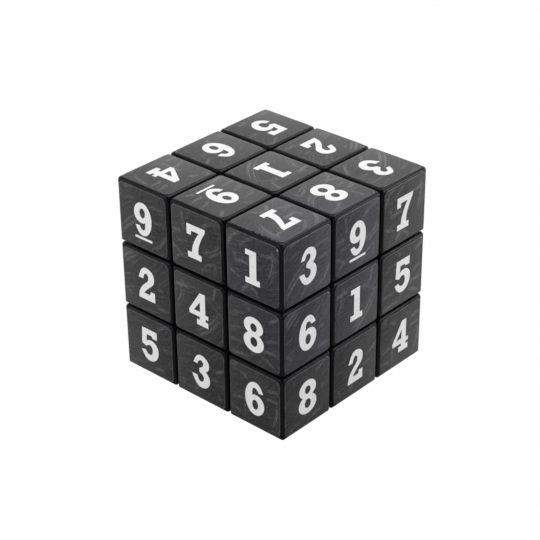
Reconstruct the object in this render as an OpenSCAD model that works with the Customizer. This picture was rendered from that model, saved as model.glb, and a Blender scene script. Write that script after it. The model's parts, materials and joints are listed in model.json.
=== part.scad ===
// Number puzzle cube, three pieces to a side, whose six faces turn about a hidden core.
// Millimetres, +Z up, front towards -Y, origin at the centre of the core.

/* [Cube] */
// Distance between the middles of two neighbouring cubies
cubie_pitch = 19; // [17:0.5:22]
// Gap between the heads of two neighbouring cubies
cubie_gap = 0.5; // [0.2:0.05:0.8]
// Radius of a cubie's outer edges
edge_round = 0.75; // [0.3:0.05:1.5]
// Radius of the ball that a cubie's blunt corners would just hold
corner_round = 0.9; // [0.8:0.1:2]
// Wall of the hollow cubie heads
wall = 1.5; // [1:0.1:2.5]

/* [Stickers] */
// Bare plastic left around each sticker
sticker_border = 0.75; // [0.3:0.05:2]
// Thickness of a sticker
sticker_thick = 0.25; // [0.1:0.05:0.5]
// Corner radius of a sticker
sticker_round = 1.4; // [0.5:0.1:4]

/* [Mechanism] */
// Depth of a face centre above the ball that all the feet form
head_depth = 7.3; // [6:0.1:9]
// Thickness of the feet that hold edges and corners in
foot_thick = 6; // [4:0.1:8]
// Clearance between parts that turn past each other
run_gap = 0.35; // [0.2:0.05:0.5]
// Wall of the round hub under each face centre
hub_wall = 2.3; // [1.5:0.1:3]
// Floor at the inner end of each hub, which its spring presses on
hub_floor = 1.8; // [1.2:0.1:3]

/* [Centre caps] */
// Thickness of the cap over a face centre
cap_thick = 2; // [1.5:0.1:3]
// Depth of the rim that plugs a cap into its centre
plug_depth = 1.6; // [1:0.1:2.5]
// Wall of that rim
plug_wall = 1.2; // [0.8:0.1:2]
// Clearance of that rim
plug_gap = 0.1; // [0.05:0.05:0.3]

/* [Core] */
// Diameter of the ball in the middle of the core
core_ball_d = 13; // [10:0.5:15]
// Diameter of the six arms of the core
arm_d = 8.4; // [7:0.2:10]
// Reach of an arm from the middle of the core
arm_reach = 8.7; // [7.5:0.1:10]

/* [Screws and springs] */
// Diameter of a screw's shank
screw_d = 2.5; // [2:0.1:3]
// Diameter of a screw's head
head_d = 5.8; // [4.5:0.1:7]
// Height of a screw's head
head_h = 2; // [1.5:0.1:3]
// Length of each arm of the cross recess in a screw's head, from tip to tip
recess_len = 4; // [3:0.1:4.4]
// Width of the cross recess
recess_w = 0.7; // [0.4:0.1:1.2]
// Depth of the cross recess
recess_depth = 1; // [0.5:0.1:1.4]
// Length of thread held in an arm of the core
screw_bite = 5.5; // [4:0.1:6.5]
// Clearance of a shank in the bore of its hub
bore_gap = 0.15; // [0.1:0.05:0.4]
// Diameter of a washer
washer_d = 6.4; // [5:0.1:7.5]
// Thickness of a washer
washer_thick = 0.5; // [0.3:0.1:1]
// Clearance around the washer and the screw's head
pocket_gap = 0.4; // [0.2:0.05:0.8]
// Fitted length of a spring
spring_len = 6; // [5:0.1:8]
// Turns in a spring
spring_turns = 4; // [3:1:5]
// Diameter of the spring's wire
wire_d = 0.7; // [0.4:0.05:0.9]
// Clearance of a spring around its screw and above its hub's floor
spring_gap = 0.3; // [0.15:0.05:0.5]
// Hairline between spring, washer and screw head, which only press on each other
press_gap = 0.05; // [0.02:0.01:0.1]

/* [Hidden] */
$fn = 64;

// Heads of the cubies
cubie_w = cubie_pitch - cubie_gap;
cube_half = 1.5*cubie_pitch - cubie_gap/2;
head_r = sqrt(3)*(cubie_w/2 - corner_round) + corner_round;
void_w = cubie_w - 2*wall;
sticker_w = cubie_w - 2*sticker_border;

// Hubs, and the planes between the feet
pocket_r = max(washer_d, head_d)/2 + pocket_gap;
hub_r = pocket_r + hub_wall;
foot_half = hub_r;
foot_start = hub_r + run_gap;

// Ball of feet
ball_r = cube_half - head_depth;
ball_clear_r = ball_r + run_gap;
foot_in_r = ball_r - foot_thick;

// Heights along one axis, from the core outwards
screw_tip = arm_reach - screw_bite;
hub_base = arm_reach + run_gap;
floor_top = hub_base + hub_floor;
spring_base = floor_top + spring_gap;
washer_base = spring_base + spring_len + press_gap;
head_base = washer_base + washer_thick + press_gap;
head_top = head_base + head_h;
seam = cube_half - cap_thick;

// Springs, six-sided wire with eight rings a turn
coil_r = screw_d/2 + spring_gap + wire_d/2;
wire_sides = 6;
rings = 8*spring_turns;
turn_rise = (spring_len - wire_d)/spring_turns;
echo(str("least gap between spring turns: ", turn_rise - wire_d, " mm"));

// Colours
body_color = "#161618";
sticker_color = "#4a4a4d";
core_color = "#2b2b2e";
steel_color = "#b9bcc0";

// A place is one of 26 directions from the core, and its number of ones says which cubie sits there
steps = [-1, 0, 1];
places = [for (z = steps) for (y = steps) for (x = steps) [x, y, z]];
function ones(p) = abs(p.x) + abs(p.y) + abs(p.z);
centres = [for (p = places) if (ones(p) == 1) p];
edges = [for (p = places) if (ones(p) == 2) p];
corners = [for (p = places) if (ones(p) == 3) p];

function side(v, low, high) = v == 0 ? "" : v < 0 ? low : high;
function place_name(p) =
    str(side(p.z, "down_", "up_"), side(p.y, "front_", "back_"), side(p.x, "left_", "right_"));
function centre_name(p) = str(place_name(p), "centre");
function edge_name(p) = str(place_name(p), "edge");
function corner_name(p) = str(place_name(p), "corner");

// Turns what points along +Z towards a face
module face_towards(p) {
    turn = p.z != 0 ? [p.z > 0 ? 0 : 180, 0, 0] : p.y != 0 ? [-90*p.y, 0, 0] : [0, 90*p.x, 0];
    rotate(turn)
    children();
}

// Mirrors what lies on the positive sides to the sides of a place
module mirror_to(p) {
    mirror([p.x < 0 ? 1 : 0, 0, 0])
    mirror([0, p.y < 0 ? 1 : 0, 0])
    mirror([0, 0, p.z < 0 ? 1 : 0])
    children();
}

// Turns an edge cubie that runs along X to the axis that its place leaves at zero, then mirrors it there
module edge_to(p) {
    turn = p.x == 0 ? [0, 0, 0] : p.y == 0 ? [0, 0, -90] : [0, 90, 0];
    mirror_to(p)
    rotate(turn)
    children();
}

module rounded_square(w, r) {
    square([w, w - 2*r], center = true);
    square([w - 2*r, w], center = true);
    for (x = [-1, 1], y = [-1, 1])
        translate([x, y]*(w/2 - r))
        circle(r);
}

module rounded_prism(w, r) {
    linear_extrude(w, center = true)
    rounded_square(w, r);
}

module rounded_cube(w, r) {
    intersection() {
        rounded_prism(w, r);
        rotate([90, 0, 0])
        rounded_prism(w, r);
        rotate([0, 90, 0])
        rounded_prism(w, r);
    }
}

// Rounded cube whose corners a ball about its middle makes blunt
module head(p) {
    translate(cubie_pitch*p)
    intersection() {
        rounded_cube(cubie_w, edge_round);
        sphere(head_r);
    }
}

module head_void(p) {
    translate(cubie_pitch*p)
    cube(void_w, center = true);
}

// Cuts a foot from the ball of feet: low is its corner nearest the core, and width its size along X
module foot(low, width) {
    intersection() {
        translate(low)
        cube([width, ball_r, ball_r]);
        difference() {
            sphere(ball_r);
            sphere(foot_in_r);
        }
    }
}

module corner_cubie() {
    color(body_color)
    difference() {
        union() {
            head([1, 1, 1]);
            foot([foot_start, foot_start, foot_start], ball_r);
        }
        head_void([1, 1, 1]);
    }
}

// Head with a foot, joined by a neck as wide as the foot
module edge_cubie() {
    color(body_color)
    difference() {
        union() {
            difference() {
                head([0, 1, 1]);
                sphere(ball_clear_r);
            }
            intersection() {
                head([0, 1, 1]);
                cube([2*foot_half, 4*ball_r, 4*ball_r], center = true);
            }
            foot([-foot_half, foot_start, foot_start], 2*foot_half);
        }
        difference() {
            head_void([0, 1, 1]);
            sphere(ball_clear_r + wall);
        }
    }
}

// Box that is open at its seam with the cap, on a hub with a pocket for screw, washer and spring
module centre_cubie() {
    color(body_color)
    difference() {
        union() {
            difference() {
                head([0, 0, 1]);
                translate([-cubie_w, -cubie_w, seam])
                cube(2*cubie_w);
                sphere(ball_clear_r);
            }
            translate([0, 0, hub_base])
            cylinder(h = ball_clear_r - hub_base, r = hub_r);
        }
        difference() {
            translate([-void_w/2, -void_w/2, hub_base])
            cube([void_w, void_w, cube_half]);
            sphere(ball_clear_r + wall);
        }
        translate([0, 0, floor_top])
        cylinder(h = cube_half, r = pocket_r);
        cylinder(h = cube_half, r = screw_d/2 + bore_gap);
    }
}

module centre_cap() {
    plug_w = void_w - 2*plug_gap;
    color(body_color) {
        intersection() {
            head([0, 0, 1]);
            translate([-cubie_w, -cubie_w, seam])
            cube(2*cubie_w);
        }
        translate([0, 0, seam - plug_depth])
        linear_extrude(plug_depth)
        difference() {
            square(plug_w, center = true);
            square(plug_w - 2*plug_wall, center = true);
        }
    }
}

module sticker() {
    color(sticker_color)
    translate([0, 0, cube_half])
    linear_extrude(sticker_thick)
    rounded_square(sticker_w, sticker_round);
}

// One sticker on each outer side of the cubie at a place
module stickers(p) {
    for (side = [[p.x, 0, 0], [0, p.y, 0], [0, 0, p.z]])
        if (ones(side) == 1)
            translate(cubie_pitch*(p - side))
            face_towards(side)
            sticker();
}

module core_spider() {
    color(core_color)
    difference() {
        union() {
            sphere(d = core_ball_d);
            for (p = centres)
                face_towards(p)
                cylinder(h = arm_reach, d = arm_d);
        }
        for (p = centres)
            face_towards(p)
            translate([0, 0, screw_tip])
            cylinder(h = arm_reach, d = screw_d);
    }
}

module screw() {
    color(steel_color)
    difference() {
        union() {
            translate([0, 0, screw_tip])
            cylinder(h = head_top - screw_tip, d = screw_d);
            translate([0, 0, head_base])
            cylinder(h = head_h, d = head_d);
        }
        for (turn = [0, 90])
            rotate(turn)
            translate([-recess_len/2, -recess_w/2, head_top - recess_depth])
            cube([recess_len, recess_w, 2*recess_depth]);
    }
}

module washer() {
    color(steel_color)
    translate([0, 0, washer_base])
    difference() {
        cylinder(h = washer_thick, d = washer_d);
        translate([0, 0, -washer_thick])
        cylinder(h = 3*washer_thick, r = screw_d/2 + bore_gap);
    }
}

function wire_point(ring, corner) =
    let (turn = 360*spring_turns*ring/rings, around = 360*corner/wire_sides + 90)
    let (out = coil_r + wire_d/2*cos(around))
    let (up = spring_base + wire_d/2 + turn_rise*turn/360 + wire_d/2*sin(around))
    [out*cos(turn), out*sin(turn), up];

module spring() {
    sides = [for (i = [0:wire_sides - 1]) i];
    function at(ring, corner) = ring*wire_sides + corner % wire_sides;
    points = [for (ring = [0:rings]) for (corner = sides) wire_point(ring, corner)];
    skin = [for (ring = [0:rings - 1]) for (i = sides) each [
        [at(ring, i), at(ring, i + 1), at(ring + 1, i + 1)],
        [at(ring, i), at(ring + 1, i + 1), at(ring + 1, i)]
    ]];
    start = [for (i = [1:wire_sides - 2]) [at(0, 0), at(0, i + 1), at(0, i)]];
    end = [for (i = [1:wire_sides - 2]) [at(rings, 0), at(rings, i), at(rings, i + 1)]];
    color(steel_color)
    polyhedron(points, concat(skin, start, end));
}

module screw_spring_sets() {
    for (p = centres)
        face_towards(p) {
            screw();
            washer();
            spring();
        }
}

core_spider();
screw_spring_sets();
for (p = centres) {
    face_towards(p) centre_cubie();
    face_towards(p) centre_cap();
    stickers(p);
}
for (p = edges) {
    edge_to(p) edge_cubie();
    stickers(p);
}
for (p = corners) {
    mirror_to(p) corner_cubie();
    stickers(p);
}
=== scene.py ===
import json
import math

import bpy
from mathutils import Matrix, Vector


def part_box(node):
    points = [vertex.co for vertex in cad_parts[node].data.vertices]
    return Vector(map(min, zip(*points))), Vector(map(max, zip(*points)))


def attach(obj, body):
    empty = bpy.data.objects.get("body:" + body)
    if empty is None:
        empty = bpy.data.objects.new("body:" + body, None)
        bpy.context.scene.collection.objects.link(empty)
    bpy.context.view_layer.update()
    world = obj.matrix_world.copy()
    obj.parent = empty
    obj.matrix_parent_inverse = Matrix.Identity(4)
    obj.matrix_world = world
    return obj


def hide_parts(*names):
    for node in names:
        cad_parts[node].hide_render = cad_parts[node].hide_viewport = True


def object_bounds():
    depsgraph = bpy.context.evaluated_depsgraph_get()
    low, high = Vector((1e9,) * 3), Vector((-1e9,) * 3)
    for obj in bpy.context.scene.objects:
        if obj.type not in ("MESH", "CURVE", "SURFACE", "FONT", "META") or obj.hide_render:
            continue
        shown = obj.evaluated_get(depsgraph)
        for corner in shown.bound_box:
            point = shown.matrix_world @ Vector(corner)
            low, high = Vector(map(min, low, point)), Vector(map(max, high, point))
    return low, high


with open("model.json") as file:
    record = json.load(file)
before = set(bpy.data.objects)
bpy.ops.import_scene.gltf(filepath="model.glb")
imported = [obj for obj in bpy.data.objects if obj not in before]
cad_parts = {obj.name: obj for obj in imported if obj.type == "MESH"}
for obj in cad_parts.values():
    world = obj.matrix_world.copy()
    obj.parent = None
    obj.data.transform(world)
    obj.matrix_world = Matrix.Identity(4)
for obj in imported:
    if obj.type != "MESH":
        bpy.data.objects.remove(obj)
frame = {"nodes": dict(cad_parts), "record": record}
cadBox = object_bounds()
bpy.ops.object.select_all(action="DESELECT")
mm = 0.001  # pieces are modelled flat in millimetres and placed in metres


# sizes read from the frame
plateLow, plateHigh = (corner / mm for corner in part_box("up_centre_sticker"))
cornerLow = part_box("up_back_right_corner_stickers")[0] / mm
plateWidth = plateHigh.x - plateLow.x
plateThick = plateHigh.z - plateLow.z
plateSeat = plateLow.z  # height of the plastic face under the stickers
pitch = cornerLow.x + plateWidth / 2
print(f"frame: stickers {plateWidth:.2f} mm wide, {plateThick:.2f} mm thick, {pitch:.2f} mm apart")


# node helpers

def feed(tree, socket, value):
    if isinstance(value, bpy.types.NodeSocket):
        tree.links.new(value, socket)
    else:
        socket.default_value = value


def feedAll(tree, node, values):
    for name, value in values.items():
        feed(tree, node.inputs[name], value)
    return node


def mathNode(tree, operation, *values):
    node = tree.nodes.new("ShaderNodeMath")
    node.operation = operation
    for socket, value in zip(node.inputs, values):
        feed(tree, socket, value)
    return node.outputs[0]


def vectorNode(tree, operation, *values):
    node = tree.nodes.new("ShaderNodeVectorMath")
    node.operation = operation
    for socket, value in zip(node.inputs, values):
        feed(tree, socket, value)
    return node.outputs["Value" if operation in ("LENGTH", "DOT_PRODUCT", "DISTANCE") else "Vector"]


def spotNode(tree, x, y, z):
    node = tree.nodes.new("ShaderNodeCombineXYZ")
    for socket, value in zip(node.inputs, (x, y, z)):
        feed(tree, socket, value)
    return node.outputs[0]


def rangeNode(tree, value, low, high, toLow=0.0, toHigh=1.0):
    node = tree.nodes.new("ShaderNodeMapRange")
    node.interpolation_type = "SMOOTHSTEP"
    node.clamp = False  # a smooth step stops at its ends by itself
    span = {"From Min": low, "From Max": high, "To Min": toLow, "To Max": toHigh}
    return feedAll(tree, node, {"Value": value, **span}).outputs["Result"]


def noiseNode(tree, place, scale, detail, roughness=0.5):
    node = tree.nodes.new("ShaderNodeTexNoise")
    values = {"Vector": place, "Scale": scale, "Detail": detail, "Roughness": roughness}
    return feedAll(tree, node, values).outputs["Fac"]


def lineNoise(tree, value, scale, detail):
    node = tree.nodes.new("ShaderNodeTexNoise")
    node.noise_dimensions = "1D"
    return feedAll(tree, node, {"W": value, "Scale": scale, "Detail": detail}).outputs["Fac"]


def mixColour(tree, amount, first, second):
    node = tree.nodes.new("ShaderNodeMix")
    node.data_type = "RGBA"
    for name, part in (("Factor_Float", amount), ("A_Color", first), ("B_Color", second)):
        feed(tree, next(s for s in node.inputs if s.identifier == name), part)
    return next(s for s in node.outputs if s.identifier == "Result_Color")


def bumpNode(tree, height, strength, distance):
    node = tree.nodes.new("ShaderNodeBump")
    values = {"Height": height, "Strength": strength, "Distance": distance}
    return feedAll(tree, node, values).outputs["Normal"]


def objectPlace(tree):
    return tree.nodes.new("ShaderNodeTexCoord").outputs["Object"]


def newGroup(name, inputs, outputs):
    group = bpy.data.node_groups.new(name, "ShaderNodeTree")
    for label, kind, value in inputs:
        socket = group.interface.new_socket(label, in_out="INPUT", socket_type=kind)
        if value is not None:
            socket.default_value = value
    for label, kind in outputs:
        group.interface.new_socket(label, in_out="OUTPUT", socket_type=kind)
    start = group.nodes.new("NodeGroupInput")
    end = group.nodes.new("NodeGroupOutput")
    return group, start.outputs, end.inputs


def placeGroup(tree, group, **values):
    node = tree.nodes.new("ShaderNodeGroup")
    node.node_tree = group
    return feedAll(tree, node, values).outputs


def newMaterial(name):
    material = bpy.data.materials.new(name)
    material.use_nodes = True
    return material, material.node_tree, material.node_tree.nodes["Principled BSDF"].inputs


# shared effects

mould = {"speckle": (3.0, 0.6), "cloud": (4.0, 0.55)}  # detail and roughness of its two noises


def buildMouldGrain():
    group, given, result = newGroup(
        "mould grain",
        [
            ("Place", "NodeSocketVector", None),
            ("Fine", "NodeSocketFloat", 4000.0),
            ("Broad", "NodeSocketFloat", 90.0),
        ],
        [("Speckle", "NodeSocketFloat"), ("Cloud", "NodeSocketFloat")],
    )
    feed(group, result["Speckle"], noiseNode(group, given["Place"], given["Fine"], *mould["speckle"]))
    feed(group, result["Cloud"], noiseNode(group, given["Place"], given["Broad"], *mould["cloud"]))
    return group


stroke = {
    "spread": 0.9,  # reach to each side, for a width of 1
    "firm": 0.3,  # share of that reach with all its chalk
    "lead": (-0.15, 0.25),  # shares of the length over which the chalk comes on
    "trail": (0.65, 1.15),  # and goes off
    "slant": 0.07,  # how far its streaks drift sideways
    "streaks": (2.4, 3.0),  # their scale to a millimetre, and detail
    "dry": (0.44, 0.6, 0.05, 1.0),  # streak values from bare to chalked, and the chalk left at each
}


def buildChalkStroke():
    group, given, result = newGroup(
        "chalk stroke",
        [
            ("Place", "NodeSocketVector", None),
            ("Start", "NodeSocketVector", (0, 0, 0)),
            ("End", "NodeSocketVector", (1, 0, 0)),
            ("Bow", "NodeSocketFloat", 0.0),
            ("Width", "NodeSocketFloat", 1.0),
            ("Weight", "NodeSocketFloat", 1.0),
        ],
        [("Mark", "NodeSocketFloat")],
    )
    reach = vectorNode(group, "SUBTRACT", given["End"], given["Start"])
    length = vectorNode(group, "LENGTH", reach)
    along = vectorNode(group, "NORMALIZE", reach)
    across = vectorNode(group, "CROSS_PRODUCT", (0, 0, 1), along)
    offset = vectorNode(group, "SUBTRACT", given["Place"], given["Start"])
    travel = vectorNode(group, "DOT_PRODUCT", offset, along)
    share = mathNode(group, "DIVIDE", travel, length)
    rest = mathNode(group, "SUBTRACT", 1.0, share)
    arch = mathNode(group, "MULTIPLY", mathNode(group, "MULTIPLY", share, rest), 4.0)  # 1 half way along
    straight = vectorNode(group, "DOT_PRODUCT", offset, across)
    side = mathNode(group, "SUBTRACT", straight, mathNode(group, "MULTIPLY", arch, given["Bow"]))
    half = mathNode(group, "MULTIPLY", given["Width"], stroke["spread"])
    aside = mathNode(group, "ABSOLUTE", side)
    firm = mathNode(group, "MULTIPLY", half, stroke["firm"])
    body = rangeNode(group, aside, firm, half, 1.0, 0.0)
    lead = rangeNode(group, share, *stroke["lead"])
    trail = rangeNode(group, share, *stroke["trail"], 1.0, 0.0)
    run = mathNode(group, "ADD", travel, length)
    slant = mathNode(group, "ADD", side, mathNode(group, "MULTIPLY", run, stroke["slant"]))
    dry = rangeNode(group, lineNoise(group, slant, *stroke["streaks"]), *stroke["dry"])
    ends = mathNode(group, "MULTIPLY", lead, trail)
    mark = mathNode(group, "MULTIPLY", mathNode(group, "MULTIPLY", body, ends), dry)
    feed(group, result["Mark"], mathNode(group, "MULTIPLY", mark, given["Weight"]))
    return group


# start, end, bow and width in millimetres from the middle of a face, and how strong the stroke is
chalkStrokes = [
    ((-27.2, 13.2), (-19.0, 21.0), 0.5, 2.0, 1.0),
    ((-15.0, 11.8), (-10.9, 18.2), -0.7, 1.3, 0.9),
    ((-16.6, 23.3), (-10.8, 24.0), 0.1, 1.0, 0.6),
    ((-15.2, 19.2), (-10.9, 20.3), 0.1, 0.8, 0.5),
    ((-26.6, 22.9), (-22.0, 24.6), 0.2, 1.2, 0.5),
    ((-25.8, 26.6), (-21.8, 27.5), 0.2, 1.2, 0.6),
    ((-21.2, 11.6), (-18.3, 14.6), 0.2, 1.2, 0.6),
    ((-5.3, 27.3), (-4.0, 21.4), 0.3, 1.3, 0.7),
    ((1.9, 24.1), (8.0, 27.3), 0.5, 1.5, 0.9),
    ((2.6, 17.2), (8.4, 21.6), -0.5, 1.0, 1.0),
    ((3.6, 16.6), (8.6, 20.2), -0.5, 0.8, 0.8),
    ((-8.4, 20.3), (-4.9, 20.8), 0.1, 1.5, 0.7),
    ((-6.8, 17.6), (-2.6, 18.3), 0.2, 0.9, 0.6),
    ((-8.4, 16.2), (-3.6, 13.8), -0.2, 0.7, 0.8),
    ((-7.9, 11.8), (-2.6, 15.4), 0.5, 0.8, 0.7),
    ((2.2, 13.1), (7.4, 15.4), 0.4, 1.2, 0.8),
    ((6.1, 15.2), (6.3, 11.4), 0.2, 1.1, 0.6),
    ((0.6, 11.7), (5.6, 12.9), 0.3, 0.8, 0.6),
    ((10.8, 22.8), (14.3, 27.4), 0.7, 1.4, 0.8),
    ((15.0, 24.0), (19.2, 27.2), 0.4, 1.4, 0.9),
    ((21.5, 23.4), (27.0, 24.4), 0.2, 1.0, 0.9),
    ((25.8, 25.8), (24.0, 16.4), 0.7, 1.1, 1.0),
    ((12.1, 21.6), (13.8, 18.7), 0.4, 1.0, 0.7),
    ((12.9, 19.1), (18.6, 19.9), 0.3, 1.7, 0.9),
    ((10.8, 16.8), (15.8, 14.8), -0.2, 0.8, 0.7),
    ((15.4, 11.6), (18.2, 14.2), 0.2, 1.0, 0.8),
    ((17.8, 14.1), (21.3, 11.3), 0.2, 1.0, 0.8),
    ((-27.3, 5.1), (-23.2, 8.4), 0.3, 1.1, 0.9),
    ((-26.6, 4.3), (-22.1, 7.4), 0.3, 0.9, 0.7),
    ((-15.2, -0.7), (-12.6, -0.2), 0.2, 1.3, 0.5),
    ((-15.0, -6.1), (-10.7, -5.6), 0.1, 1.4, 0.7),
    ((-27.3, -3.6), (-24.6, -5.6), 0.2, 2.2, 0.5),
    ((-5.6, 7.2), (-7.8, -2.6), 0.9, 1.1, 0.8),
    ((-8.4, 4.7), (-2.4, 5.2), 0.2, 1.2, 0.9),
    ((-5.6, 5.9), (0.8, 5.2), 0.3, 0.9, 0.6),
    ((6.2, 8.3), (4.6, 3.5), 0.3, 0.8, 0.9),
    ((1.8, 4.2), (7.6, 1.4), 0.5, 1.9, 0.7),
    ((-0.9, -7.8), (7.4, 1.6), -1.0, 1.9, 1.0),
    ((16.4, 8.2), (17.8, 5.9), 0.2, 1.4, 0.6),
    ((11.6, 3.9), (16.4, 5.2), 0.2, 1.4, 0.8),
    ((24.4, 5.2), (27.2, 7.5), 0.2, 1.0, 0.8),
    ((11.2, -0.6), (15.4, 0.6), 0.2, 1.1, 0.5),
    ((23.2, -0.8), (27.1, 1.3), 0.2, 1.1, 0.7),
    ((22.4, -3.5), (27.2, -3.1), 0.2, 1.1, 0.8),
    ((10.8, -4.2), (15.4, -3.5), 0.2, 1.1, 0.7),
    ((11.3, -7.6), (18.0, -6.8), 0.3, 1.4, 1.0),
    ((21.8, -5.5), (26.2, -7.4), 0.4, 0.9, 0.8),
    ((-15.8, -12.8), (-11.4, -10.6), 0.3, 1.1, 0.8),
    ((-14.6, -18.4), (-10.7, -18.0), 0.1, 1.0, 0.7),
    ((-17.4, -25.7), (-13.8, -25.1), 0.1, 1.2, 0.8),
    ((-26.8, -26.2), (-21.6, -25.2), 0.2, 1.2, 0.5),
    ((5.6, -17.6), (8.5, -15.4), 0.2, 1.0, 0.8),
    ((3.6, -20.2), (6.4, -19.7), 0.1, 1.4, 0.5),
    ((-2.3, -26.4), (-0.6, -23.4), 0.2, 1.4, 0.7),
    ((5.8, -23.2), (6.7, -25.6), 0.1, 1.8, 0.6),
    ((-7.2, -23.6), (-6.0, -25.6), 0.1, 1.8, 0.6),
    ((23.2, -15.2), (27.2, -13.9), 0.2, 1.0, 0.8),
    ((22.8, -17.5), (27.2, -16.9), 0.1, 1.1, 0.9),
    ((26.7, -18.4), (25.4, -25.2), 0.5, 1.1, 0.9),
    ((15.9, -17.6), (16.2, -26.8), 0.1, 1.4, 0.7),
    ((11.2, -21.6), (15.8, -20.2), 0.2, 1.1, 0.6),
    ((14.2, -12.8), (16.8, -14.2), 0.2, 1.0, 0.8),
    ((10.7, -12.6), (13.4, -10.6), 0.2, 1.7, 0.6),
    ((10.8, -24.4), (14.6, -25.2), 0.2, 1.3, 0.6),
]


def buildChalkMarks(chalkStroke):
    group, given, result = newGroup(
        "chalk marks",
        [("Place", "NodeSocketVector", None)],
        [("Mark", "NodeSocketFloat")],
    )
    total = None
    for start, end, bow, width, weight in chalkStrokes:
        line = {"Start": (*start, 0), "End": (*end, 0), "Bow": bow, "Width": width, "Weight": weight}
        mark = placeGroup(group, chalkStroke, Place=given["Place"], **line)["Mark"]
        total = mark if total is None else mathNode(group, "MAXIMUM", total, mark)
    feed(group, result["Mark"], total)
    return group


# a spot is a place on the cube and its reach, in millimetres
wearAndSheen = {
    "firm": 0.45,  # share of the reach at full strength: fully worn for the chips and scuff, fully tinted for the painted blue sheen
    "chips": [  # out of the edge of one sticker
        ((18.6, -27.6, 28.5), 0.7),
        ((20.6, -27.6, 28.5), 0.6),
        ((22.6, -27.7, 28.5), 0.6),
        ((23.9, -27.3, 28.5), 0.5),
        ((25.4, -27.2, 28.5), 0.6),
        ((26.4, -27.2, 28.5), 0.5),
    ],
    "scuff": ((27.2, -28.5, 26.8), 0.45),  # one corner, rubbed pale
    "paintedBlueSheen": ((34.0, -14.0, 14.0), 31.0),  # painted blue sheen: stickers towards the upper front-right edge tinted bluer, standing in for a cool reflection
}


# falloff round a spot, used for real chips and scuffs and for the painted blue sheen
def buildWearAndSheenSpot():
    group, given, result = newGroup(
        "wear and sheen spot",
        [
            ("Place", "NodeSocketVector", None),
            ("Spot", "NodeSocketVector", (0, 0, 0)),
            ("Reach", "NodeSocketFloat", 0.001),
        ],
        [("WearAndSheen", "NodeSocketFloat")],
    )
    away = vectorNode(group, "DISTANCE", given["Place"], given["Spot"])
    firm = mathNode(group, "MULTIPLY", given["Reach"], wearAndSheen["firm"])
    feed(group, result["WearAndSheen"], rangeNode(group, away, firm, given["Reach"], 1.0, 0.0))
    return group


def wearAndSheenAt(tree, place, spot, reach):
    return placeGroup(tree, wearAndSheenSpot, Place=place, Spot=[v * mm for v in spot], Reach=reach * mm)["WearAndSheen"]


wipe = {
    "swirl": (0.085, 1.0),  # scale to a millimetre and detail of the cloth's path
    "push": (3.5, 3.5, 0),  # how far it bends the streaks
    "streak": (1.0, 4.0, 0.62),  # scale, detail and roughness
}


def buildWipedStreaks():
    group, given, result = newGroup(
        "wiped streaks",
        [
            ("Place", "NodeSocketVector", None),
            ("Turn", "NodeSocketFloat", 0.0),
            ("Long", "NodeSocketFloat", 0.2),
            ("Short", "NodeSocketFloat", 1.5),
        ],
        [("Streak", "NodeSocketFloat")],
    )
    swirl = group.nodes.new("ShaderNodeTexNoise")
    scale, detail = wipe["swirl"]
    feedAll(group, swirl, {"Vector": given["Place"], "Scale": scale, "Detail": detail})
    drift = vectorNode(group, "SUBTRACT", swirl.outputs["Color"], (0.5,) * 3)
    push = vectorNode(group, "MULTIPLY", drift, wipe["push"])
    pushed = vectorNode(group, "ADD", given["Place"], push)
    turned = group.nodes.new("ShaderNodeVectorRotate")
    turned.rotation_type = "Z_AXIS"
    feedAll(group, turned, {"Vector": pushed, "Angle": given["Turn"]})
    stretch = spotNode(group, given["Long"], given["Short"], 1.0)
    drawn = vectorNode(group, "MULTIPLY", turned.outputs[0], stretch)
    feed(group, result["Streak"], noiseNode(group, drawn, *wipe["streak"]))
    return group


mouldGrain = buildMouldGrain()
wearAndSheenSpot = buildWearAndSheenSpot()
wipedStreaks = buildWipedStreaks()
chalkMarks = buildChalkMarks(buildChalkStroke())


# finishes

def buildCubiePlastic():
    look = {
        "dark": (0.0012, 0.0012, 0.0022, 1),
        "pale": (0.0034, 0.0034, 0.0056, 1),
        "grain": {"Fine": 5200.0, "Broad": 160.0},
        "cloud": (0.35, 0.68),  # cloud values from dark to pale
        "rough": (0.3, 0.7, 0.28, 0.42),  # cloud values, and the roughness at each
        "bump": (0.05, 0.00008),  # strength, and depth in metres
        "gloss": 0.14,
    }
    material, tree, shader = newMaterial("black cubie plastic")
    grain = placeGroup(tree, mouldGrain, Place=objectPlace(tree), **look["grain"])
    cloud = rangeNode(tree, grain["Cloud"], *look["cloud"])
    feed(tree, shader["Base Color"], mixColour(tree, cloud, look["dark"], look["pale"]))
    feed(tree, shader["Roughness"], rangeNode(tree, grain["Cloud"], *look["rough"]))
    feed(tree, shader["Normal"], bumpNode(tree, grain["Speckle"], *look["bump"]))
    shader["Specular IOR Level"].default_value = look["gloss"]
    return material


def buildCorePlastic():
    look = {
        "dark": (0.02, 0.02, 0.022, 1),
        "pale": (0.034, 0.034, 0.037, 1),
        "grain": {"Fine": 3200.0, "Broad": 220.0},
        "rough": (0.3, 0.7, 0.45, 0.6),
        "bump": (0.1, 0.0001),
    }
    material, tree, shader = newMaterial("dark core plastic")
    grain = placeGroup(tree, mouldGrain, Place=objectPlace(tree), **look["grain"])
    feed(tree, shader["Base Color"], mixColour(tree, grain["Cloud"], look["dark"], look["pale"]))
    feed(tree, shader["Roughness"], rangeNode(tree, grain["Speckle"], *look["rough"]))
    feed(tree, shader["Normal"], bumpNode(tree, grain["Speckle"], *look["bump"]))
    return material


def buildZincSteel():
    look = {
        "dull": (0.42, 0.43, 0.45, 1),
        "bright": (0.62, 0.63, 0.66, 1),
        "grain": {"Fine": 2600.0, "Broad": 480.0},
        "rough": (0.3, 0.7, 0.2, 0.38),
    }
    material, tree, shader = newMaterial("zinc steel")
    grain = placeGroup(tree, mouldGrain, Place=objectPlace(tree), **look["grain"])
    feed(tree, shader["Base Color"], mixColour(tree, grain["Cloud"], look["dull"], look["bright"]))
    feed(tree, shader["Roughness"], rangeNode(tree, grain["Speckle"], *look["rough"]))
    shader["Metallic"].default_value = 1.0
    return material


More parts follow.
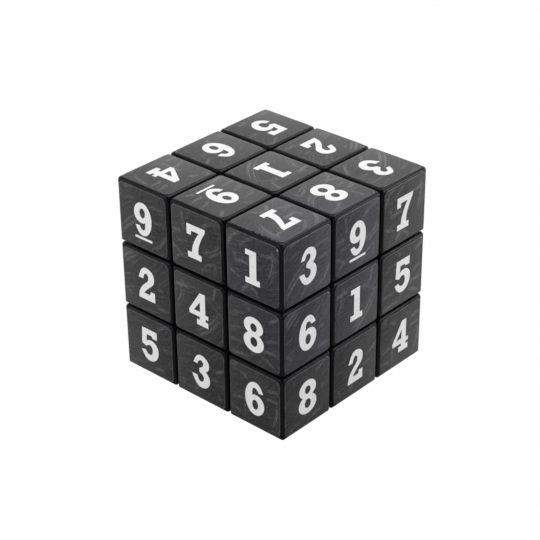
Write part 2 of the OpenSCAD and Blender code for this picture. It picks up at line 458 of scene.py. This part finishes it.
plate = {
    "cornerRound": 1.4,
    "cornerSteps": 8,
    "edgeRound": 0.09,
    "edgeSteps": 3,
    "smooth": math.radians(40),
    "rim": (-0.3, -0.05),  # where the pale line starts and is full, from the cut edge; partly edge wear, partly a painted highlight
}


def buildChalkVinyl():
    look = {
        "slate": (0.0085, 0.0085, 0.0089, 1),
        "dust": (0.0525, 0.0525, 0.0536, 1),
        "chalk": (0.12, 0.12, 0.121, 1),
        # pale rim colour: partly a worn cut edge, partly a painted highlight
        "rim": (0.1, 0.1, 0.102, 1),
        "bare": (0.004, 0.004, 0.006, 1),
        "scuff": (0.3, 0.3, 0.3, 1),
        "paintedBlueSheen": (0.98, 0.97, 1.22),  # share of each colour in the painted blue sheen
        "cloud": 0.6,  # how much each of three noises adds to the ground
        "sweep": 1.05,
        "tooth": 1.7,
        "cloudNoise": (0.13, 3.0, 0.5),  # scale to a millimetre, detail and roughness
        "toothNoise": (1.3, 4.0, 0.7),
        "low": {"Turn": math.radians(-12), "Long": 0.17, "Short": 1.5},  # two ways of wiping
        "steep": {"Turn": math.radians(-42), "Long": 0.17, "Short": 1.3},
        "patchNoise": (0.07, 1.0),  # where each of them shows
        "patch": (0.42, 0.58),
        "skip": (0.25, 0.75, 0.3, 1.0),  # chalk catches where the ground is rough
        "faint": (0.56, 0.64, 0.0, 0.26),  # older strokes, nearly wiped off
        "wanderNoise": (0.9, 3.0, 0.6),  # how the pale rim, partly wear and partly painted highlight, comes and goes
        "wander": (0.3, 0.7, 0.35, 1.0),
        "rough": (0.2, 0.8, 0.34, 0.5),
        "bump": (0.3, 0.00006),
        "coat": (0.14, 0.14, 0.38),  # plain, with the ground and with the strokes, which catch the light
        "coatRough": 0.42,
        "gloss": 0.1,
    }
    material, tree, shader = newMaterial("chalkboard vinyl")
    face = tree.nodes.new("ShaderNodeUVMap")
    face.uv_map = "faceMap"
    place = face.outputs["UV"]
    cloud = noiseNode(tree, place, *look["cloudNoise"])
    tooth = noiseNode(tree, place, *look["toothNoise"])
    low = placeGroup(tree, wipedStreaks, Place=place, **look["low"])["Streak"]
    steep = placeGroup(tree, wipedStreaks, Place=place, **look["steep"])["Streak"]
    patch = rangeNode(tree, noiseNode(tree, place, *look["patchNoise"]), *look["patch"])
    blend = feedAll(tree, tree.nodes.new("ShaderNodeMix"), {"Factor": patch, "A": low, "B": steep})
    sweep = blend.outputs["Result"]
    level = 0.5 - (look["cloud"] + look["sweep"] + look["tooth"]) / 2  # keeps the ground about a half
    ground = mathNode(tree, "MULTIPLY_ADD", cloud, look["cloud"], level)
    ground = mathNode(tree, "MULTIPLY_ADD", sweep, look["sweep"], ground)
    ground = mathNode(tree, "MULTIPLY_ADD", tooth, look["tooth"], ground)
    base = mixColour(tree, ground, look["slate"], look["dust"])
    marks = placeGroup(tree, chalkMarks, Place=place)["Mark"]
    skip = rangeNode(tree, ground, *look["skip"])
    faint = rangeNode(tree, sweep, *look["faint"])
    dusted = mathNode(tree, "MULTIPLY", mathNode(tree, "MAXIMUM", marks, faint), skip)
    drawn = mixColour(tree, dusted, base, look["chalk"])

    # distance to the sticker's rounded outline, for the pale line along the cut edge, partly edge wear and
    # partly a painted highlight
    halfPitch = (pitch / 2,) * 3
    local = vectorNode(tree, "WRAP", place, halfPitch, tuple(-v for v in halfPitch))
    straight = plateWidth / 2 - plate["cornerRound"]
    aside = vectorNode(tree, "MULTIPLY", vectorNode(tree, "ABSOLUTE", local), (1, 1, 0))
    past = vectorNode(tree, "SUBTRACT", aside, (straight, straight, 0))
    beyond = vectorNode(tree, "MAXIMUM", past, (0, 0, 0))
    edge = mathNode(tree, "SUBTRACT", vectorNode(tree, "LENGTH", beyond), plate["cornerRound"])
    wander = rangeNode(tree, noiseNode(tree, place, *look["wanderNoise"]), *look["wander"])
    rim = mathNode(tree, "MULTIPLY", rangeNode(tree, edge, *plate["rim"]), wander)
    colour = mixColour(tree, rim, drawn, look["rim"])

    onCube = objectPlace(tree)
    # painted blue sheen: the vinyl is tinted bluer towards the upper front-right edge, standing in for a
    # cool reflection
    paintedBlueSheen = wearAndSheenAt(tree, onCube, *wearAndSheen["paintedBlueSheen"])
    colour = mixColour(tree, paintedBlueSheen, colour, vectorNode(tree, "MULTIPLY", colour, look["paintedBlueSheen"]))
    first, *others = wearAndSheen["chips"]
    chipped = wearAndSheenAt(tree, onCube, *first)
    for chip in others:
        chipped = mathNode(tree, "MAXIMUM", chipped, wearAndSheenAt(tree, onCube, *chip))
    colour = mixColour(tree, chipped, colour, look["bare"])
    scuffed = wearAndSheenAt(tree, onCube, *wearAndSheen["scuff"])
    feed(tree, shader["Base Color"], mixColour(tree, scuffed, colour, look["scuff"]))
    feed(tree, shader["Roughness"], rangeNode(tree, ground, *look["rough"]))
    feed(tree, shader["Normal"], bumpNode(tree, ground, *look["bump"]))
    plain, rough, chalked = look["coat"]
    coat = mathNode(tree, "MULTIPLY_ADD", ground, rough, plain)
    coat = mathNode(tree, "MULTIPLY_ADD", dusted, chalked, coat)
    feed(tree, shader["Coat Weight"], coat)
    shader["Coat Roughness"].default_value = look["coatRough"]
    shader["Specular IOR Level"].default_value = look["gloss"]
    return material


def buildDigitInk():
    look = {
        "grey": (0.72, 0.72, 0.715, 1),
        "white": (0.8, 0.8, 0.795, 1),
        "grain": {"Fine": 4200.0, "Broad": 700.0},
        "cloud": (0.28, 0.5),
        "rough": (0.3, 0.7, 0.42, 0.58),
        "gloss": 0.3,
    }
    material, tree, shader = newMaterial("white digit ink")
    grain = placeGroup(tree, mouldGrain, Place=objectPlace(tree), **look["grain"])
    cloud = rangeNode(tree, grain["Cloud"], *look["cloud"])
    feed(tree, shader["Base Color"], mixColour(tree, cloud, look["grey"], look["white"]))
    feed(tree, shader["Roughness"], rangeNode(tree, grain["Speckle"], *look["rough"]))
    shader["Specular IOR Level"].default_value = look["gloss"]
    return material


cubiePlastic = buildCubiePlastic()
corePlastic = buildCorePlastic()
zincSteel = buildZincSteel()
chalkVinyl = buildChalkVinyl()
digitInk = buildDigitInk()
finishes = (cubiePlastic, corePlastic, zincSteel, chalkVinyl, digitInk)
print("finishes:", ", ".join(material.name for material in finishes))


def dressFrame():
    finishOf = {
        "cubie_plastic": cubiePlastic,
        "core_plastic": corePlastic,
        "steel": zincSteel,
        "sticker_vinyl": chalkVinyl,
    }
    for part in frame["record"]["subparts"]:
        mesh = frame["nodes"][part["node"]].data
        mesh.materials.clear()
        mesh.materials.append(finishOf[part["material_slot"]])


dressFrame()


# one sticker, flat, its back on z = 0

def selectBy(mesh, kind, test):
    bpy.ops.object.mode_set(mode="OBJECT")
    for part in getattr(mesh, kind):
        part.select = test(part)
    bpy.ops.object.mode_set(mode="EDIT")


def buildPlate():
    bpy.ops.mesh.primitive_plane_add(size=plateWidth, calc_uvs=False)
    made = bpy.context.object
    made.name = "plate_master"
    bpy.ops.object.mode_set(mode="EDIT")
    bpy.ops.mesh.select_all(action="SELECT")
    bpy.ops.mesh.bevel(offset=plate["cornerRound"], segments=plate["cornerSteps"], affect="VERTICES")
    bpy.ops.mesh.select_all(action="SELECT")
    bpy.ops.mesh.extrude_region_move(TRANSFORM_OT_translate={"value": (0, 0, plateThick)})
    bpy.ops.mesh.select_mode(type="EDGE")
    bpy.ops.mesh.select_all(action="DESELECT")
    points = made.data.vertices
    selectBy(made.data, "edges", lambda e: all(points[v].co.z > plateThick / 2 for v in e.vertices))
    bpy.ops.mesh.bevel(offset=plate["edgeRound"], segments=plate["edgeSteps"], affect="EDGES")
    bpy.ops.mesh.select_all(action="SELECT")
    bpy.ops.mesh.normals_make_consistent(inside=False)
    bpy.ops.object.mode_set(mode="OBJECT")
    bpy.ops.object.shade_smooth_by_angle(angle=plate["smooth"])
    made.data.materials.append(chalkVinyl)
    return made


# digit outlines in millimetres from the sticker's middle. A knot is x, y and how the line passes it:
# no third value for a corner, otherwise the heading in degrees of a smooth knot
east, north, west, south = 0, 90, 180, 270
digitOutlines = {
    "1": [[
        (-2.38, -4.65), (2.38, -4.65), (2.38, -3.05), (1.28, -3.05), (1.28, 4.65),
        (-2.3, 4.65), (-2.3, 3.18), (-0.98, 3.18), (-0.98, -3.05), (-2.38, -3.05),
    ]],
    "2": [[
        (-3.0, -4.84), (3.0, -4.84), (3.0, -1.9), (1.5, -1.9), (1.22, -2.98), (-1.05, -2.98),
        (0.9, -0.95, 42), (2.95, 2.43, north), (0.05, 4.83, west), (-2.84, 1.26), (-1.14, 1.26),
        (-0.05, 3.1, east), (0.77, 2.1, south), (-1.0, -0.45, 224),
    ]],
    "3": [[
        (-2.57, 2.09), (-1.2, 2.01), (0.15, 3.42, east), (0.94, 2.55, south), (-0.53, 0.88),
        (-0.53, -0.3), (1.04, -1.85, south), (-0.15, -3.2, west), (-1.37, -1.55), (-3.2, -1.6),
        (0.1, -5.05, east), (3.22, -2.05, north), (1.85, 0.4), (3.04, 2.55, north), (0.2, 5.05, west),
    ]],
    "4": [
        [
            (0.55, 4.78), (-3.38, -1.16), (-3.25, -2.3), (0.36, -2.3), (0.36, -3.16), (-0.71, -3.16),
            (-0.71, -4.78), (3.29, -4.78), (3.29, -3.16), (2.37, -3.16), (2.37, -2.36), (3.39, -2.36),
            (3.39, -1.13), (2.37, -1.13), (2.37, 4.78),
        ],
        [(0.52, 2.04), (0.52, -0.78), (-1.68, -0.78)],
    ],
    "5": [[
        (-2.66, 4.95), (-2.96, -0.08), (-1.34, -0.67), (0.02, 0.06, east), (1.04, -1.35, south),
        (-0.08, -3.04, west), (-1.73, -1.84), (-3.23, -2.14), (-0.08, -4.95, east), (3.24, -1.04, north),
        (0.61, 1.73, west), (-1.24, 1.05), (-0.95, 3.19), (0.85, 3.19), (1.09, 2.55), (2.84, 2.55),
        (2.84, 4.95),
    ]],
    "6": [
        [
            (2.96, 2.27), (0.25, 5.0, west), (-3.25, -0.3, south), (0.05, -5.0, east), (3.25, -1.45, north),
            (0.56, 1.26, west), (-0.94, 0.68), (-0.77, 2.08, north), (0.05, 3.24, east), (1.38, 2.07),
        ],
        [(0.13, -0.37, west), (-0.87, -1.83, south), (0.13, -3.29, east), (1.13, -1.83, north)],
    ],
    "7": [[
        (-3.02, -4.75), (1.72, -4.75), (1.72, -3.12), (0.72, -3.12), (1.37, 0.5, 66), (3.02, 3.55),
        (3.2, 4.7), (-3.2, 4.7), (-3.22, 1.73), (-1.75, 1.73), (-1.66, 2.94), (1.08, 2.94),
        (-0.78, -0.08, 245), (-1.52, -3.12), (-3.02, -3.12),
    ]],
    "8": [
        [
            (0.0, -5.02, east), (3.38, -2.16, north), (1.84, 0.24), (3.19, 2.3, north), (0.0, 5.02, west),
            (-3.19, 2.3, south), (-1.84, 0.24), (-3.38, -2.16, south),
        ],
        [(0.03, 3.29, west), (-1.04, 2.1, south), (0.03, 0.91, east), (1.1, 2.1, north)],
        [(0.06, -0.65, west), (-1.11, -2.02, south), (0.06, -3.39, east), (1.23, -2.02, north)],
    ],
}
nine = {"turn": math.pi, "wide": 0.97, "high": 0.955}  # a nine is a six turned over
bar = {"width": 6.2, "low": -5.95, "high": -5.25}  # marks a nine, which reads as a six upside down
digit = {
    "proud": 0.012,  # above the sticker
    "sunk": 0.012,  # into it
    "steps": 8,
    "round": 0.5523,  # handle of a quarter circle, for a radius of 1
    "lean": 0.45,  # how far a corner's handle goes towards that of a smooth knot
    "weld": 0.001,
}


def handleOf(knot, other, sign):
    here, there = Vector(knot[:2]), Vector(other[:2])
    if len(knot) == 3:
        heading = Vector((math.cos(math.radians(knot[2])), math.sin(math.radians(knot[2]))))
        return here + heading * (sign * digit["round"] * abs((there - here).dot(heading)))
    if len(other) == 3:
        return here.lerp(handleOf(other, knot, -sign), digit["lean"])
    return here.lerp(there, 1 / 3)


def buildDigit(name):
    bpy.ops.curve.primitive_bezier_curve_add()
    made = bpy.context.object
    made.name = "digit_master_" + name
    curve = made.data
    curve.splines.clear()
    curve.dimensions = "2D"
    curve.fill_mode = "BOTH"
    curve.resolution_u = digit["steps"]
    thick = digit["proud"] + digit["sunk"]
    curve.extrude = thick / 2
    outlines = digitOutlines["6" if name == "9" else name]
    for outline in outlines:
        spline = curve.splines.new("BEZIER")
        spline.bezier_points.add(len(outline) - 1)
        spline.use_cyclic_u = True
        for i, (point, knot) in enumerate(zip(spline.bezier_points, outline)):
            point.handle_left_type = point.handle_right_type = "FREE"
            point.co = (*knot[:2], 0)
            point.handle_left = (*handleOf(knot, outline[i - 1], -1), 0)
            point.handle_right = (*handleOf(knot, outline[(i + 1) % len(outline)], 1), 0)
    bpy.ops.object.convert(target="MESH")
    made = bpy.context.object
    if name == "9":
        stretch = Matrix.Diagonal((nine["wide"], nine["high"], 1, 1))
        made.data.transform(Matrix.Rotation(nine["turn"], 4, "Z") @ stretch)
    bpy.ops.object.mode_set(mode="EDIT")
    if name == "9":
        bpy.ops.mesh.primitive_cube_add(size=1, location=(0, (bar["low"] + bar["high"]) / 2, 0))
        bpy.ops.transform.resize(value=(bar["width"], bar["high"] - bar["low"], thick))
    bpy.ops.mesh.select_all(action="SELECT")
    bpy.ops.mesh.remove_doubles(threshold=digit["weld"])
    bpy.ops.mesh.normals_make_consistent(inside=False)
    bpy.ops.object.mode_set(mode="OBJECT")
    made.data.materials.clear()
    made.data.materials.append(digitInk)
    return made


plateMaster = buildPlate()
digitMasters = {name: buildDigit(name) for name in "123456789"}
digitFaces = sum(len(master.data.polygons) for master in digitMasters.values())
print("masters: sticker", len(plateMaster.data.polygons), "faces, digits", digitFaces)


# each face: the way out of it, the way its digits read, and its rows from the top
faceLayout = {
    "front": {"out": (0, -1, 0), "right": (1, 0, 0), "up": (0, 0, 1), "rows": ("971", "248", "536")},
    "right": {"out": (1, 0, 0), "right": (0, 1, 0), "up": (0, 0, 1), "rows": ("397", "615", "824")},
    "up": {"out": (0, 0, 1), "right": (0, -1, 0), "up": (1, 0, 0), "rows": ("387", "219", "564")},
    "back": {"out": (0, 1, 0), "right": (-1, 0, 0), "up": (0, 0, 1), "rows": ("482", "637", "195")},
    "left": {"out": (-1, 0, 0), "right": (0, -1, 0), "up": (0, 0, 1), "rows": ("649", "258", "713")},
    "down": {"out": (0, 0, -1), "right": (1, 0, 0), "up": (0, -1, 0), "rows": ("576", "981", "342")},
}


def cubieName(spot):
    words = []
    for value, low, high in ((spot.z, "down", "up"), (spot.y, "front", "back"), (spot.x, "left", "right")):
        if abs(value) > 0.5:
            words.append(low if value < 0 else high)
    return "_".join(words + [("centre", "edge", "corner")[len(words) - 1]])


def copyOf(master):
    made = master.copy()
    made.data = master.data.copy()
    bpy.context.scene.collection.objects.link(made)
    return made


def mapFace(mesh, across, along):
    spots = mesh.uv_layers.new(name="faceMap").uv  # millimetres from the middle of the face
    for loop in mesh.loops:
        point = mesh.vertices[loop.vertex_index].co
        spots[loop.index].vector = (point.x + across, point.y + along)


def layFace(layout, plates, digits):
    out, right, up = (Vector(layout[way]) for way in ("out", "right", "up"))
    turn = Matrix.Scale(mm, 4) @ Matrix((right, up, out)).transposed().to_4x4()
    lift = Vector((0, 0, plateThick + (digit["proud"] - digit["sunk"]) / 2))
    for row, line in enumerate(layout["rows"]):
        for column, name in enumerate(line):
            across, along = column - 1, 1 - row
            cubie = cubieName(out + right * across + up * along)
            spot = Vector((across * pitch, along * pitch, plateSeat))
            sticker = copyOf(plateMaster)
            mapFace(sticker.data, spot.x, spot.y)
            sticker.data.transform(turn @ Matrix.Translation(spot))
            plates.setdefault(cubie, []).append(sticker)
            figure = copyOf(digitMasters[name])
            figure.data.transform(turn @ Matrix.Translation(spot + lift))
            digits.setdefault(cubie, []).append(figure)


def joinAs(name, parts):
    bpy.ops.object.select_all(action="DESELECT")
    for part in parts:
        part.select_set(True)
    bpy.context.view_layer.objects.active = parts[0]
    if len(parts) > 1:
        bpy.ops.object.join()
    parts[0].name = parts[0].data.name = name
    return parts[0]


def layStickers():
    plates, digits = {}, {}
    for layout in faceLayout.values():
        layFace(layout, plates, digits)
    for cubie in plates:
        sticker = joinAs(cubie + "_vinyl", plates[cubie])
        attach(sticker, cubie + "_piece")
        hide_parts(cubie + ("_sticker" if cubie.endswith("centre") else "_stickers"))
        figures = joinAs(cubie + "_digits", digits[cubie])
        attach(figures, cubie + "_piece")
    for master in (plateMaster, *digitMasters.values()):
        bpy.data.objects.remove(master)
    print("stickers laid on", len(plates), "cubies")


layStickers()


# floor, light and camera

studio = {
    "floorSize": 3.0,
    "floorGap": 0.00003,  # keeps the printed digits underneath clear of the floor
    "floorGreys": ((0.34, 0.34, 0.34, 1), (0.38, 0.38, 0.38, 1)),
    "floorCloud": (3.0, 3.0),  # scale to a metre, and detail
    "floorRough": 0.9,
    "floorGloss": 0.1,
    "floorWhite": 0.992,  # share of the floor's white that the shadow leaves alone
    "floorSheen": (0.18, 0.85),  # the same in reflections, towards the camera and towards the backdrop
    "floorFade": (-0.028, 0.0),  # metres towards the backdrop over which it changes
    "ambient": 0.42,  # strength of the sky on the object
    "backdrop": (-0.675, 0.738, 0.0),  # where the white backdrop hangs
    "spread": (0.0, 0.6),  # how its white fades out to the sides
    "room": 0.2,  # the room on the camera's side, in reflections
}


def addFloor():
    level = cadBox[0].z - studio["floorGap"]
    bpy.ops.mesh.primitive_plane_add(size=studio["floorSize"], location=(0, 0, level))
    floor = bpy.context.object
    floor.name = "pale_floor"
    material, tree, shader = newMaterial("pale floor")
    cloud = noiseNode(tree, objectPlace(tree), *studio["floorCloud"])
    feed(tree, shader["Base Color"], mixColour(tree, cloud, *studio["floorGreys"]))
    shader["Roughness"].default_value = studio["floorRough"]
    shader["Specular IOR Level"].default_value = studio["floorGloss"]
    path = tree.nodes.new("ShaderNodeLightPath").outputs
    mirrored = mathNode(tree, "MAXIMUM", path["Is Glossy Ray"], path["Is Transmission Ray"])
    direct = mathNode(tree, "MULTIPLY", path["Is Camera Ray"], studio["floorWhite"])
    glow = tree.nodes.new("ShaderNodeEmission")
    blend = tree.nodes.new("ShaderNodeMixShader")
    away = vectorNode(tree, "DOT_PRODUCT", objectPlace(tree), studio["backdrop"])
    bright = rangeNode(tree, away, *studio["floorFade"], *studio["floorSheen"])
    sheen = mathNode(tree, "MULTIPLY", mirrored, bright)
    feed(tree, blend.inputs["Fac"], mathNode(tree, "MAXIMUM", direct, sheen))
    feed(tree, blend.inputs[1], tree.nodes["Principled BSDF"].outputs[0])
    feed(tree, blend.inputs[2], glow.outputs[0])
    feed(tree, tree.nodes["Material Output"].inputs["Surface"], blend.outputs[0])
    floor.data.materials.append(material)


def addSky():
    world = bpy.data.worlds.new("white studio")
    world.use_nodes = True
    bpy.context.scene.world = world
    tree = world.node_tree
    back = tree.nodes["Background"]
    path = tree.nodes.new("ShaderNodeLightPath").outputs
    heading = tree.nodes.new("ShaderNodeTexCoord").outputs["Generated"]
    facing = vectorNode(tree, "DOT_PRODUCT", heading, studio["backdrop"])
    room = rangeNode(tree, facing, *studio["spread"], studio["room"], 1.0)
    white = mathNode(tree, "MAXIMUM", path["Is Camera Ray"], room)
    mirrored = mathNode(tree, "MAXIMUM", path["Is Glossy Ray"], path["Is Transmission Ray"])
    seen = mathNode(tree, "MAXIMUM", path["Is Camera Ray"], mirrored)
    back.inputs["Color"].default_value = (1, 1, 1, 1)
    feed(tree, back.inputs["Strength"], rangeNode(tree, seen, 0.0, 1.0, studio["ambient"], white))


# place and size in metres, and watts; each faces the cube
softboxes = {
    "back_softbox": ((-0.12, 0.39, 0.69), (0.6, 0.45), 4.0),
    "left_strip": ((-0.72, 0.42, 0.2), (0.9, 0.3), 0.9),
    "side_strip": ((-0.86, -0.34, 0.1), (0.7, 0.24), 4.8),
    "front_softbox": ((-0.15, -0.88, 0.3), (0.6, 0.4), 3.15),
    "right_strip": ((0.36, 0.86, 0.06), (0.6, 0.17), 10.9),
}


def addSoftbox(name, place, size, watts):
    bpy.ops.object.light_add(type="AREA", location=place)
    lamp = bpy.context.object
    lamp.name = name
    lamp.data.shape = "RECTANGLE"
    lamp.data.size, lamp.data.size_y = size
    lamp.data.energy = watts
    lamp.rotation_euler = Vector(place).to_track_quat("Z", "Y").to_euler()


camera = {
    "azimuth": 42.42,  # degrees round from the front face
    "elevation": 29.71,
    "roll": -0.65,
    "distance": 0.42197,
    "focalPixels": 1588.0,
    "picturePixels": 540,  # each way
    "sensor": 36.0,
    "near": 0.01,
    "slide": (-0.00094, -0.0008),  # right and up, which sets the cube in the frame
}


def addCamera():
    around, above, roll = (math.radians(camera[key]) for key in ("azimuth", "elevation", "roll"))
    out = math.cos(above)
    back = Vector((math.sin(around) * out, -math.cos(around) * out, math.sin(above)))
    level = Vector((math.cos(around), math.sin(around), 0))
    rise = back.cross(level)
    right = level * math.cos(roll) + rise * math.sin(roll)
    up = rise * math.cos(roll) - level * math.sin(roll)
    place = back * camera["distance"] + right * camera["slide"][0] + up * camera["slide"][1]
    bpy.ops.object.camera_add()
    eye = bpy.context.object
    eye.matrix_world = Matrix.Translation(place) @ Matrix((right, up, back)).transposed().to_4x4()
    eye.data.sensor_width = camera["sensor"]
    eye.data.lens = camera["focalPixels"] / camera["picturePixels"] * camera["sensor"]
    eye.data.clip_start = camera["near"]
    bpy.context.scene.camera = eye


addFloor()
addSky()
for name, values in softboxes.items():
    addSoftbox(name, *values)
addCamera()
bpy.context.scene.view_settings.view_transform = "Standard"
print("studio: floor, sky,", len(softboxes), "softboxes and camera")
